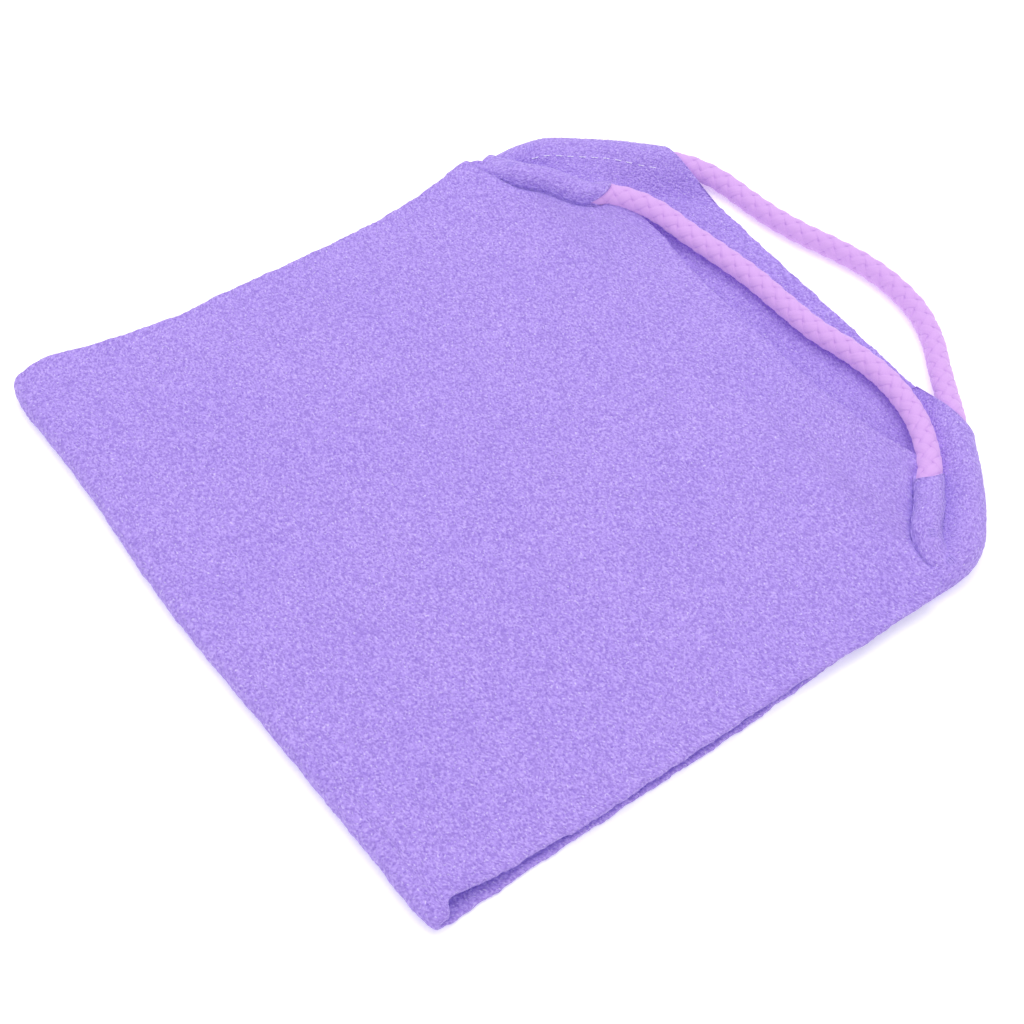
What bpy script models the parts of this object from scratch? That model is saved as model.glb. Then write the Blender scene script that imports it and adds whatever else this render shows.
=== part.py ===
"""Exfoliating scrubbing strip, folded in half, with a rope handle at each of its two ends.

One strip of thick crepe knit lies folded double, so that both rope handles are at the same end.
Each end of the strip has its two corners cut off, and each cut edge is rolled into a casing that
holds one end of a rope.  The rope leaves the casing's mouth and bows across to the other one.

Frame: +X runs from the fold to the handles, +Y along the fold, +Z up.  The origin is the centre of
the strip's footprint, on the surface it lies on.  Plan points below are in millimetres, x from the
fold's outer face and y from the strip's middle line.  "left" is +Y and "right" is -Y.
"""

import math

import bmesh
import bpy
from mathutils import Vector

MM = 0.001

# Driving dimensions, in millimetres.
CLOTH_WIDTH = 190.0
LOWER_LENGTH = 203.0
UPPER_LENGTH = 178.0
CLOTH_THICKNESS = 1.8
LAYER_GAP = 3.2
FOLD_AXIS_OUT = 2.0  # the halves turn about a line this far past the fold's outer face
ROPE_DIAMETER = 6.5
CASING_DIAMETER = 9.6
CLEARANCE = 0.3

# Casing centrelines in plan: the outer end, at the strip's side, and the mouth, at the strip's end.
CASING_LINES = {
    ("lower", "left"): ((169.2, 91.2), (199.5, 61.0)),
    ("lower", "right"): ((172.8, -91.6), (198.0, -61.5)),
    ("upper", "left"): ((152.5, 91.0), (171.5, 62.5)),
    ("upper", "right"): ((157.5, -88.5), (180.1, -67.8)),
}

# Where each half's straight end edge starts and stops, clear of the ropes: (right, left).
END_EDGE_Y = {"lower": (-45.0, 45.0), "upper": (-50.0, 28.0)}

# The ropes' own points between their pivots, x, y, z of the centreline.  A rope that lies on
# something keeps its centre one radius and the clearance above it.
ROPE_POINTS = {
    "lower": (
        (206.3, 52.6, 4.1),
        (208.6, 46.5, 3.5),
        (209.9, 38.0, 3.3),
        (211.6, 28.1, 3.3),
        (214.5, 18.1, 3.3),
        (218.1, 8.7, 3.3),
        (221.3, -1.8, 3.3),
        (222.5, -12.0, 3.3),
        (221.5, -22.8, 3.3),
        (217.4, -33.2, 3.3),
        (211.6, -42.0, 3.4),
        (206.4, -50.0, 3.9),
    ),
    "upper": (
        (179.2, 53.2, 7.2),
        (182.5, 46.0, 6.7),
        (184.8, 36.0, 5.8),
        (187.3, 24.5, 5.4),
        (189.3, 12.0, 5.4),
        (190.0, 0.0, 5.4),
        (191.0, -12.5, 5.4),
        (193.8, -24.6, 5.4),
        (195.1, -35.8, 5.4),
        (193.8, -46.6, 5.6),
        (190.3, -55.8, 6.2),
    ),
}

# Casing and rope details.
PIVOT_OUT = 5.0  # from a casing's mouth to the point where the rope starts to turn
ROPE_TIP_IN = 6.0  # from a casing's outer end to the rope's sealed tip
MOUTH_BACK = 3.0  # the cloth stops this far short of a casing's mouth
STITCH_LENGTH = 2.4
STITCH_WIDTH = 0.7
STITCH_PITCH = 3.6
STITCH_ANGLE = 115.0  # round the casing, from its outboard side over the top
SEAM_START = 10.0
SEAM_END = 3.0
TACK_IN = 6.5
TACK_WIDTH = 1.6
TACK_THICKNESS = 0.7
TACK_SPAN = (20.0, 160.0)

# Facets.
ROUND_SEGMENTS = 24
BEND_SEGMENTS = 12
ROPE_SEGMENTS = 12
THREAD_SEGMENTS = 6
ROPE_STEP = 2.0 * ROPE_DIAMETER

# Values worked out from the driving dimensions.
ROPE_RADIUS = ROPE_DIAMETER / 2
CASING_RADIUS = CASING_DIAMETER / 2
UPPER_CLOTH_Z = CLOTH_THICKNESS + LAYER_GAP
FOLD_HEIGHT = UPPER_CLOTH_Z + CLOTH_THICKNESS
FOLD_RADIUS = FOLD_HEIGHT / 2
CLOTH_Z = {"lower": 0.0, "upper": UPPER_CLOTH_Z}
CLOTH_LENGTH = {"lower": LOWER_LENGTH, "upper": UPPER_LENGTH}
CASING_Z = {"lower": CASING_RADIUS, "upper": CLOTH_THICKNESS + CLEARANCE + CASING_RADIUS}
UP = Vector((0, 0, 1))


def place(x, y, z):
    """A point in the part's frame, in metres, from millimetres measured from the fold."""
    return Vector((x - LOWER_LENGTH / 2, y, z)) * MM


def make_material(name, colour, roughness):
    """A Principled material with one colour."""
    material = bpy.data.materials.new(name)
    material.use_nodes = True
    shader = material.node_tree.nodes["Principled BSDF"]
    shader.inputs["Base Color"].default_value = (*colour, 1)
    shader.inputs["Roughness"].default_value = roughness
    shader.inputs["Metallic"].default_value = 0.0
    material.diffuse_color = (*colour, 1)
    return material


def add_object(name, data, material, axis=None):
    """Links a mesh or curve as a named object, under the empty that marks its joint's axis."""
    obj = bpy.data.objects.new(name, data)
    data.materials.append(material)
    bpy.context.scene.collection.objects.link(obj)
    if axis is not None:
        obj.parent = axis
        obj.location = -axis.location
    return obj


def add_mesh(name, bm, material, axis=None, smooth=False):
    """Turns a bmesh into a named object with its faces pointing out."""
    bmesh.ops.recalc_face_normals(bm, faces=bm.faces)
    mesh = bpy.data.meshes.new(name)
    bm.to_mesh(mesh)
    bm.free()
    if smooth:
        mesh.shade_smooth()
        mesh.set_sharp_from_angle(angle=math.radians(40))
    return add_object(name, mesh, material, axis)


def add_axis(name, point):
    """An empty on a joint's axis."""
    axis = bpy.data.objects.new(name, None)
    axis.empty_display_size = 10 * MM
    axis.location = point
    bpy.context.scene.collection.objects.link(axis)
    return axis


def extruded(points, offset):
    """A closed prism: a polygon swept by one offset."""
    bm = bmesh.new()
    face = bm.faces.new([bm.verts.new(p) for p in points])
    swept = bmesh.ops.extrude_face_region(bm, geom=[face])
    verts = [v for v in swept["geom"] if isinstance(v, bmesh.types.BMVert)]
    bmesh.ops.translate(bm, vec=offset, verts=verts)
    return bm


def joined_loops(bm, loops, closed):
    """Quads between each loop of vertices and the next; the last joins the first if closed."""
    pairs = list(zip(loops, loops[1:]))
    if closed:
        pairs.append((loops[-1], loops[0]))
    for low, high in pairs:
        for i in range(len(low)):
            j = (i + 1) % len(low)
            bm.faces.new((low[i], low[j], high[j], high[i]))


class Casing:
    """One casing's centreline and the directions along it, across it and up."""

    def __init__(self, half, side):
        start, mouth = CASING_LINES[half, side]
        self.start = Vector((*start, CASING_Z[half]))
        self.mouth = Vector((*mouth, CASING_Z[half]))
        self.along = (self.mouth - self.start).normalized()
        self.length = (self.mouth - self.start).length
        turn = 1 if side == "left" else -1
        self.outboard = turn * UP.cross(self.along)
        self.pivot = self.mouth + self.along * PIVOT_OUT

    def point(self, distance, radius, degrees):
        """A point round the casing; 0 degrees is outboard and 90 is straight up."""
        angle = math.radians(degrees)
        across = self.outboard * math.cos(angle) + UP * math.sin(angle)
        return place(*(self.start + self.along * distance + across * radius))

    def ring(self, bm, distance, radius, segments=ROUND_SEGMENTS):
        """A full ring of vertices round the casing's centreline."""
        step = 360 / segments
        return [bm.verts.new(self.point(distance, radius, i * step)) for i in range(segments)]


def thread_ring(bm, centre, casing, radius):
    """A small ring of vertices round a thread that runs along a casing."""
    ring = []
    for i in range(THREAD_SEGMENTS):
        angle = math.tau * i / THREAD_SEGMENTS
        across = casing.outboard * math.cos(angle) + UP * math.sin(angle)
        ring.append(bm.verts.new(centre + across * radius * MM))
    return ring


def cloth_corners(half, side):
    """Plan points where one half's cloth stops along a casing: at its side, mouth and end edge."""
    casing = Casing(half, side)
    edge_shift = -casing.outboard * (CASING_RADIUS + CLEARANCE)
    start = casing.start + edge_shift
    sign = 1 if side == "left" else -1
    to_side = (sign * CLOTH_WIDTH / 2 - start.y) / casing.along.y
    side_point = start + casing.along * to_side
    mouth_point = casing.mouth - casing.along * MOUTH_BACK + edge_shift
    right, left = END_EDGE_Y[half]
    end_point = Vector((CLOTH_LENGTH[half], left if side == "left" else right, 0))
    return [(p.x, p.y) for p in (side_point, mouth_point, end_point)]


def build_cloth(half, material, axis):
    """One flat half of the strip, from the fold to its end edge, with its corners cut off."""
    fold_x = FOLD_RADIUS + CLEARANCE
    outline = [(fold_x, -CLOTH_WIDTH / 2)]
    outline += cloth_corners(half, "right")
    outline += reversed(cloth_corners(half, "left"))
    outline.append((fold_x, CLOTH_WIDTH / 2))
    points = [place(x, y, CLOTH_Z[half]) for x, y in outline]
    add_mesh(f"{half}_cloth", extruded(points, UP * CLOTH_THICKNESS * MM), material, axis)


def build_fold(material):
    """The strip's round bend, which joins the two halves."""
    profile = []
    for radius, order in ((FOLD_RADIUS, 1), (FOLD_RADIUS - CLOTH_THICKNESS, -1)):
        for i in range(BEND_SEGMENTS + 1)[::order]:
            angle = math.radians(90 + 180 * i / BEND_SEGMENTS)
            x = FOLD_RADIUS + radius * math.cos(angle)
            z = FOLD_RADIUS + radius * math.sin(angle)
            profile.append(place(x, -CLOTH_WIDTH / 2, z))
    sweep = Vector((0, CLOTH_WIDTH * MM, 0))
    add_mesh("fold_bend", extruded(profile, sweep), material, smooth=True)


def build_casing(half, side, material, axis):
    """The rolled hem: a sleeve that is open at both ends."""
    casing = Casing(half, side)
    bore = ROPE_RADIUS + CLEARANCE
    bm = bmesh.new()
    loops = [
        casing.ring(bm, distance, radius)
        for distance, radius in (
            (0, bore),
            (0, CASING_RADIUS),
            (casing.length, CASING_RADIUS),
            (casing.length, bore),
        )
    ]
    joined_loops(bm, loops, closed=True)
    add_mesh(f"{half}_{side}_casing", bm, material, axis, smooth=True)


def build_rope_end(half, side, material, axis):
    """The end of a rope inside its casing, with the heat-sealed tip drawn in."""
    casing = Casing(half, side)
    cut = casing.length + PIVOT_OUT - ROPE_RADIUS - CLEARANCE
    profile = (
        (ROPE_TIP_IN, 0.5 * ROPE_RADIUS),
        (ROPE_TIP_IN + 0.4, 0.8 * ROPE_RADIUS),
        (ROPE_TIP_IN + 1.6, ROPE_RADIUS),
        (cut, ROPE_RADIUS),
    )
    bm = bmesh.new()
    loops = [casing.ring(bm, distance, radius, ROPE_SEGMENTS) for distance, radius in profile]
    joined_loops(bm, loops, closed=False)
    bm.faces.new(loops[0])
    bm.faces.new(loops[-1])
    add_mesh(f"{half}_{side}_rope_end", bm, material, axis, smooth=True)


def build_seam(half, side, material, axis):
    """The thread that closes the hem: full at each stitch and drawn thin where it dips between."""
    casing = Casing(half, side)
    radius = CASING_RADIUS + CLEARANCE + STITCH_WIDTH / 2
    count = int((casing.length - SEAM_START - SEAM_END) / STITCH_PITCH) + 1
    thick, thin = STITCH_WIDTH / 2, STITCH_WIDTH / 6
    shape = ((-0.5, thin), (-0.3, thick), (0.3, thick), (0.5, thin))
    bm = bmesh.new()
    loops = []
    for i in range(count):
        middle = SEAM_START + i * STITCH_PITCH
        for share, size in shape:
            centre = casing.point(middle + share * STITCH_LENGTH, radius, STITCH_ANGLE)
            loops.append(thread_ring(bm, centre, casing, size))
    joined_loops(bm, loops, closed=False)
    bm.faces.new(loops[0])
    bm.faces.new(loops[-1])
    add_mesh(f"{half}_{side}_seam", bm, material, axis)


def build_tack(half, side, material, axis):
    """The bar of dense thread over a casing that fastens the rope's end in it."""
    casing = Casing(half, side)
    inner = CASING_RADIUS + CLEARANCE
    first, last = TACK_SPAN
    bm = bmesh.new()
    loops = []
    for i in range(BEND_SEGMENTS + 1):
        degrees = first + (last - first) * i / BEND_SEGMENTS
        corners = (
            (TACK_IN, inner),
            (TACK_IN + TACK_WIDTH, inner),
            (TACK_IN + TACK_WIDTH, inner + TACK_THICKNESS),
            (TACK_IN, inner + TACK_THICKNESS),
        )
        loops.append([bm.verts.new(casing.point(*corner, degrees)) for corner in corners])
    joined_loops(bm, loops, closed=False)
    bm.faces.new(loops[0])
    bm.faces.new(loops[-1])
    add_mesh(f"{half}_{side}_tack", bm, material, axis)


def smooth_line(points, step):
    """Points at even steps along a smooth curve (centripetal Catmull-Rom) through the points."""
    ends = [points[0] * 2 - points[1], *points, points[-1] * 2 - points[-2]]
    fine = []
    for p0, p1, p2, p3 in zip(ends, ends[1:], ends[2:], ends[3:]):
        knots = [0.0]
        for a, b in ((p0, p1), (p1, p2), (p2, p3)):
            knots.append(knots[-1] + math.sqrt((b - a).length))
        t0, t1, t2, t3 = knots
        for i in range(20):
            t = t1 + (t2 - t1) * i / 20
            a1 = p0.lerp(p1, (t - t0) / (t1 - t0))
            a2 = p1.lerp(p2, (t - t1) / (t2 - t1))
            a3 = p2.lerp(p3, (t - t2) / (t3 - t2))
            b1 = a1.lerp(a2, (t - t0) / (t2 - t0))
            b2 = a2.lerp(a3, (t - t1) / (t3 - t1))
            fine.append(b1.lerp(b2, (t - t1) / (t2 - t1)))
    fine.append(points[-1])
    total = sum((b - a).length for a, b in zip(fine, fine[1:]))
    spacing = total / max(1, round(total / step))
    line, walked = [fine[0]], 0.0
    for a, b in zip(fine, fine[1:]):
        walked += (b - a).length
        if walked >= spacing * len(line) - 1e-6:
            line.append(b)
    line[-1] = points[-1]
    return line


def rope_line(half):
    """(point, share of the full radius) along a free rope, with a round end at each pivot."""
    left, right = Casing(half, "left"), Casing(half, "right")
    middle = [Vector(p) for p in ROPE_POINTS[half]]
    line = smooth_line([left.pivot, *middle, right.pivot], ROPE_STEP)
    dome = [
        (math.cos(math.radians(angle)) * ROPE_RADIUS, math.sin(math.radians(angle)))
        for angle in (12, 40, 65)
    ]
    first = [(left.pivot - left.along * back, share) for back, share in dome]
    last = [(right.pivot - right.along * back, share) for back, share in reversed(dome)]
    return first + [(point, 1.0) for point in line] + last


def build_rope(half, material, axis):
    """The free length of a handle, from pivot to pivot."""
    curve = bpy.data.curves.new(f"{half}_rope", "CURVE")
    curve.dimensions = "3D"
    curve.bevel_depth = ROPE_RADIUS * MM
    curve.bevel_resolution = ROPE_SEGMENTS // 4
    curve.use_fill_caps = True
    line = rope_line(half)
    spline = curve.splines.new("POLY")
    spline.points.add(len(line) - 1)
    for spot, (point, share) in zip(spline.points, line):
        spot.co = (*place(*point), 1)
        spot.radius = share
    add_object(f"{half}_rope", curve, material, axis)


def handle_axis(half):
    """The empty on the line between a handle's two pivots, at its middle."""
    middle = (Casing(half, "left").pivot + Casing(half, "right").pivot) / 2
    return add_axis(f"{half}_handle_axis", place(*middle))


def main():
    for obj in list(bpy.data.objects):
        bpy.data.objects.remove(obj)
    cloth = make_material("cloth", (0.46, 0.32, 0.92), 0.95)
    rope = make_material("rope", (0.72, 0.41, 0.94), 0.8)
    thread = make_material("thread", (0.66, 0.55, 0.93), 0.7)

    fold_axis = add_axis("fold_axis", place(-FOLD_AXIS_OUT, 0, FOLD_RADIUS))
    body_axis = {"lower": None, "upper": fold_axis}
    build_fold(cloth)
    for half, axis in body_axis.items():
        build_cloth(half, cloth, axis)
        build_rope(half, rope, handle_axis(half))
        for side in ("left", "right"):
            build_casing(half, side, cloth, axis)
            build_rope_end(half, side, rope, axis)
            build_seam(half, side, thread, axis)
            build_tack(half, side, thread, axis)


main()
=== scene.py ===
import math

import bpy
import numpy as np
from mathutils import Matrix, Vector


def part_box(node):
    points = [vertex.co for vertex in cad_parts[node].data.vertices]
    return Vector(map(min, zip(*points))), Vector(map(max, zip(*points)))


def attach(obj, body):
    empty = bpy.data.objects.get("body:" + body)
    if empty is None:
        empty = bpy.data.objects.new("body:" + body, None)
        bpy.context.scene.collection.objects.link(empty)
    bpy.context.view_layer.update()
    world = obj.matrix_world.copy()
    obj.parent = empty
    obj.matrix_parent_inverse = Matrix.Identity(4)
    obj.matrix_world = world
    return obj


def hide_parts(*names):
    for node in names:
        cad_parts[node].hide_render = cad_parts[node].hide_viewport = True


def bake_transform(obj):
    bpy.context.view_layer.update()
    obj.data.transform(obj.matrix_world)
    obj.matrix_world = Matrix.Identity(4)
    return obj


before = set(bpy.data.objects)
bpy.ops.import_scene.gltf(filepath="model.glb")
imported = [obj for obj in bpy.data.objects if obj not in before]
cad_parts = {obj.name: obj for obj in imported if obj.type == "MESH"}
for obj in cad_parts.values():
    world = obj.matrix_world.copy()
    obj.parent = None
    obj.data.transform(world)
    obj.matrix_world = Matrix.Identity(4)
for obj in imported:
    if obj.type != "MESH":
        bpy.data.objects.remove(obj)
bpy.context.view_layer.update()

# Looks of the folded exfoliating strip: crepe knit, rolled casings, braided ropes and stitches.
#
# Lengths are in millimetres in plan space: x from the fold's outer face, y from the strip's middle
# line, z up from the surface.  to_row() turns them into the row frame's metres.  "left" is +Y and
# "right" is -Y.  Meshes are worked out as numpy arrays and made in one call each.

MM = 0.001

HALVES = ("lower", "upper")
SIDES = ("left", "right")
UPRIGHT = np.array((0, 0, 1.0))

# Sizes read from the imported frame, in millimetres.
FOLD_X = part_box("fold_bend")[0].x / MM
FOLD_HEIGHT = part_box("fold_bend")[1].z / MM
HALF_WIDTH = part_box("lower_cloth")[1].y / MM
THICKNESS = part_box("lower_cloth")[1].z / MM
HALF_END = {half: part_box(f"{half}_cloth")[1].x / MM - FOLD_X for half in HALVES}

# The fold's mid-surface is an arc of ARC_RADIUS about x = ARC_X, with this many rows of points.
ARC_RADIUS = (FOLD_HEIGHT - THICKNESS) / 2
ARC_X = FOLD_HEIGHT / 2
ARC_ROWS = 11

# The cloth mesh's spacing, its closer steps within the zone along an edge, and how far in from the
# edge its rounding starts.
GRID_STEP = 0.8
EDGE_STEPS = np.array((0, 0.10, 0.32, 0.70, 1.2))
EDGE_ZONE = 2.0
EDGE_ROUND = 0.9

# The knit's pebbles: their height and pitch, a grain's size, and the bumps along a cut edge.
PEBBLE_HEIGHT = 0.11
PEBBLE_PITCH = np.array((1.45, 1.95))
GRAIN_WIDTH = 0.62
GRAIN_LENGTH = 1.0
EDGE_FRAY = 0.22

# The heights of the two layers' mid-surfaces at rest.
LOWER_REST = THICKNESS / 2 + 0.02
UPPER_REST = 4.35

# How far the fold bows out past the CAD's straight one, at y.
FOLD_BOW = ((-97, -1.6), (-94, -0.4), (-90, 0.3), (-76, 0.6), (-58, 1.2), (-28, 2.2), (-10, 3.0),
            (8, 3.5), (26, 3.2), (50, 2.0), (70, 1.9), (86, 2.2), (92, 1.5), (95, 0.4), (97, -1.2))

# The strip's sides: from the fold along the long side, then under the casing to the end edge.
SIDE_POINTS = {
    ("lower", "left"): ((3.4, 94.5), (14, 94.5), (40, 91.5), (90, 90.5), (140, 92.0), (152, 91.8),
                        (161, 88.5), (168.2, 83.9), (176.2, 78.3), (187, 70), (197.4, 60), (203, 58)),
    ("lower", "right"): ((3.4, -96.0), (5, -96.5), (8, -96.4), (20, -96.2), (60, -96.3), (92, -96.5),
                         (106, -96.0), (120, -95.6), (134, -94.6), (156, -94.4), (164, -93.0),
                         (172.5, -87.8), (181, -79.8), (188.5, -70.8), (197, -59.5), (203, -58)),
    ("upper", "left"): ((3.4, 96.0), (6.5, 97.2), (13.5, 97.3), (18, 96.6), (26, 94.8), (37, 93.1),
                        (49, 91.5), (62, 91.6), (87, 90.7), (114, 90.7), (130, 92.4), (138, 93.6),
                        (148, 95.3), (152.5, 92), (155.5, 84.5), (158.5, 78), (163, 71.5),
                        (166.8, 64.5), (170, 60.5), (173.5, 57)),
    ("upper", "right"): ((3.4, -96.4), (4.6, -95.4), (5.8, -93.4), (8.0, -92.8), (10, -93.0),
                         (13, -93.5), (16, -94.0), (20, -94.4), (28, -94.7), (36, -95.1), (45, -96.0),
                         (60, -95.9), (88, -96.0), (116, -96.2), (130, -96.9), (146, -96.9),
                         (156, -97.0), (161.5, -94.0), (165.0, -87.5), (168.0, -81.5), (173.5, -75.0),
                         (178.5, -69.0), (184, -62.5)),
}

# The end edges, from the right casing's mouth to the left one's.
END_POINTS = {
    "lower": ((203.0, -58.0), (203.2, -20.0), (203.0, 20.0), (203.0, 58.0)),
    "upper": ((184.0, -62.5), (181.2, -51.0), (178.6, -30.0), (177.4, 0.0), (177.4, 24.0),
              (178.9, 42.0), (178.0, 50.0), (173.5, 57.0)),
}

# Casing centrelines, from the outer end at the strip's side to the mouth, the height of their
# middles, their outer and inner radius, and how high their outer ends are next to the rest.
CASING_POINTS = {
    ("lower", "left"): ((158.0, 90.3), (164.0, 89.0), (169.6, 86.0), (177.8, 80.3), (188.5, 71.9),
                        (194.9, 65.9), (199.2, 61.6)),
    ("lower", "right"): ((156.5, -91.4), (163.5, -91.9), (169.6, -91.5), (174.8, -89.2),
                         (183.0, -81.5), (190.4, -72.4), (195.2, -65.5), (199.3, -60.0)),
    ("upper", "left"): ((153.8, 92.4), (156.4, 85.4), (158.6, 79.6), (163.2, 74.0), (166.4, 67.8),
                        (168.4, 64.6), (170.8, 62.6)),
    ("upper", "right"): ((165.6, -92.4), (165.0, -87.6), (166.8, -82.4), (173.6, -76.2), (180.2, -69.4)),
}
CASING_Z = {"lower": 4.8, "upper": 6.9}
CASING_RADIUS = {"lower": 4.8, "upper": 4.0}
CASING_BORE = 3.4
FLAT_SHARE = {("lower", "left"): 0.34, ("lower", "right"): 0.50,
              ("upper", "left"): 0.34, ("upper", "right"): 0.56}
CASING_STEP = 0.6
CASING_AROUND = 72

# A lower casing's inboard side runs on past its tube as a skirt.  Its reach and the height of its
# edge are given beside the upper casing and then past that one's mouth; the change is where, along
# the casing, one turns into the other.
SKIRT_REACH = {"left": (8.4, 8.4), "right": (3.2, 8.0)}
SKIRT_BASE = (6.4, 0.95)
SKIRT_CHANGE = {"left": (30.0, 46.0), "right": (36.0, 52.0)}

# How far an upper mouth's outboard side and its top reach past its middle, along the casing, how
# far a lower mouth's top is set back, and how far before the mouth this starts.
MOUTH_LEAN = {"left": (1.2, 4.8), "right": (1.6, -2.4)}
MOUTH_SET_BACK = 3.4
MOUTH_ZONE = 14

# A rope's line runs through two pivots, each this far past its casing's mouth.
PIVOT_OUT = 5.0

# The ropes' own points between their pivots, the same as in the part's source.
ROPE_POINTS = {
    "lower": (
        (206.3, 52.6, 4.1),
        (208.6, 46.5, 3.5),
        (209.9, 38.0, 3.3),
        (211.6, 28.1, 3.3),
        (214.5, 18.1, 3.3),
        (218.1, 8.7, 3.3),
        (221.3, -1.8, 3.3),
        (222.5, -12.0, 3.3),
        (221.5, -22.8, 3.3),
        (217.4, -33.2, 3.3),
        (211.6, -42.0, 3.4),
        (206.4, -50.0, 3.9),
    ),
    "upper": (
        (179.2, 53.2, 7.2),
        (182.5, 46.0, 6.7),
        (184.8, 36.0, 5.8),
        (187.3, 24.5, 5.4),
        (189.3, 12.0, 5.4),
        (190.0, 0.0, 5.4),
        (191.0, -12.5, 5.4),
        (193.8, -24.6, 5.4),
        (195.1, -35.8, 5.4),
        (193.8, -46.6, 5.6),
        (190.3, -55.8, 6.2),
    ),
}

# The most rope that a casing hides, and how far its tip stays from the casing's outer end.
ROPE_INSIDE = {"lower": 28.0, "upper": 20.0}
ROPE_TIP_ROOM = 7.0

# The braid: strands each way round, one turn's length, a strand's section, how far out it runs and
# how far it weaves in and out.
STRANDS = 4
BRAID_LEAD = 21.5
STRAND_WIDTH = 3.2
STRAND_THICKNESS = 1.4
STRAND_SIDES = 16
STRAND_RADIUS = 2.45
STRAND_WEAVE = 0.2
ROPE_STEP = 0.6

# The seams' stitches: the angle at which they lie round each casing, from outboard over the top,
# where they start along it, how much of it they leave free, and their pitch and length.
SEAM_ANGLE = {("lower", "left"): 128.0, ("lower", "right"): 150.0,
              ("upper", "left"): 172.0, ("upper", "right"): 172.0}
SEAM_START = 9
SEAM_SPARE = 12
STITCH_PITCH = 3.6
STITCH_LENGTH = 2.7

# The bar tacks: passes of thread, where they lie along the casing and their reach round it.
TACK_PASSES = 6
TACK_START = 8.0
TACK_PITCH = 0.42
TACK_ANGLES = (60, 115)

# The thread, of two plies, and the length of one turn of its twist.
SEAM_THREAD_RADIUS = 0.16
TACK_THREAD_RADIUS = 0.17
THREAD_TWIST = 2.2
PLY_SIDES = 7

# The camera, aimed at a point of the strip.
CAMERA_AIM = (86.06, -11.85, 0.0)
CAMERA_DISTANCE = 512.0
CAMERA_AZIMUTH = 40.96
CAMERA_ELEVATION = 53.95
CAMERA_ROLL = 5.11
CAMERA_LENS = 68.98

# The light from all round, the key light and the floor, in metres and watts.
WORLD_STRENGTH = 0.92
KEY_PLACE = (0.16, 0.28, 1.05)
KEY_SIZE = 1.1
KEY_POWER = 5.6
KEY_COLOUR = (1.0, 0.99, 0.98)
FLOOR_HALF = 40.0

# Linear colours.  The thread is bright on the one seam where it shows and elsewhere toned to the
# cloth.
WHITE = (1.0, 1.0, 1.0)
# Knit colours: the dark and light ends of the grain ramp are painted shade in the valleys and painted
# light on the crests.
KNIT_VALLEY_SHADE = (0.304, 0.200, 0.592)
KNIT_MID = (0.400, 0.278, 0.720)
KNIT_CREST_LIGHT = (0.512, 0.382, 0.810)
# Painted shade in the knit's pits.
KNIT_PIT_SHADE = (0.200, 0.110, 0.520)
# Painted highlights: pale specks on the knit.
KNIT_SPECK_HIGHLIGHT = (0.90, 0.84, 1.0)
# Painted light: the knit's glow lifts its shaded parts toward blue.
KNIT_PAINTED_GLOW = (0.20, 0.11, 1.0)
# Rope colours: the dark end is painted shade where strands dip, the pale end painted light on their
# crowns.
ROPE_DIP_SHADE = (0.250, 0.125, 0.385)
ROPE_LIGHT = (0.375, 0.205, 0.475)
ROPE_CROWN_LIGHT = (0.420, 0.240, 0.505)
# Painted light: the rope's glow flattens its shading.
ROPE_PAINTED_GLOW = (0.66, 0.38, 0.89)
BRIGHT_THREAD = ((0.62, 0.55, 0.90), (0.92, 0.88, 1.0))
TONED_THREAD = ((0.43, 0.30, 0.82), (0.51, 0.38, 0.88))


# ---------------------------------------------------------------- helpers

def to_row(points):
    """Plan millimetres to the row frame's metres."""
    return (np.asarray(points, float) + (FOLD_X, 0, 0)) * MM


def ease(start, end, value):
    """0 before start, 1 after end, and smooth between them."""
    t = np.clip((value - start) / (end - start), 0, 1)
    return t * t * (3 - 2 * t)


def unit(vectors):
    """Vectors at length 1."""
    return vectors / np.linalg.norm(vectors, axis=-1, keepdims=True)


def distances(line):
    """Each point's distance along a line."""
    return np.concatenate([[0], np.cumsum(np.linalg.norm(np.diff(line, axis=0), axis=1))])


def curve_through(points, step):
    """Points at even steps along a smooth curve (centripetal Catmull-Rom) through the points."""
    points = np.asarray(points, float)
    ends = np.vstack([2 * points[0] - points[1], points, 2 * points[-1] - points[-2]])
    share = np.linspace(0, 1, 40, endpoint=False)[:, None]
    fine = []
    for p0, p1, p2, p3 in zip(ends, ends[1:], ends[2:], ends[3:]):
        pairs = ((p0, p1), (p1, p2), (p2, p3))
        t1, t2, t3 = np.cumsum([math.sqrt(np.linalg.norm(b - a)) for a, b in pairs])
        t = t1 + (t2 - t1) * share
        a1 = p0 + (p1 - p0) * t / t1
        a2 = p1 + (p2 - p1) * (t - t1) / (t2 - t1)
        a3 = p2 + (p3 - p2) * (t - t2) / (t3 - t2)
        b1 = a1 + (a2 - a1) * t / t2
        b2 = a2 + (a3 - a2) * (t - t1) / (t3 - t1)
        fine.append(b1 + (b2 - b1) * (t - t1) / (t2 - t1))
    fine = np.vstack([*fine, points[-1:]])
    along = distances(fine)
    even = np.linspace(0, along[-1], max(2, round(along[-1] / step) + 1))
    return np.stack([np.interp(even, along, axis) for axis in fine.T], axis=1)


def resampled(line, shares):
    """Points at shares, from 0 to 1, of a line's length."""
    along = distances(line)
    return np.stack([np.interp(shares * along[-1], along, axis) for axis in line.T], axis=1)


def line_length(line):
    """A line's whole length."""
    return float(np.linalg.norm(np.diff(line, axis=0), axis=1).sum())


def cell_random(cells, seed):
    """Even random numbers from 0 to 1, one for each whole-number cell."""
    mixed = cells[..., 0] * 374761393 + cells[..., 1] * 668265263 + seed * 1442695041
    mixed = (mixed ^ (mixed >> 13)) * 1274126177
    return ((mixed ^ (mixed >> 16)) & 0xFFFFFF) / float(0x1000000)


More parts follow.
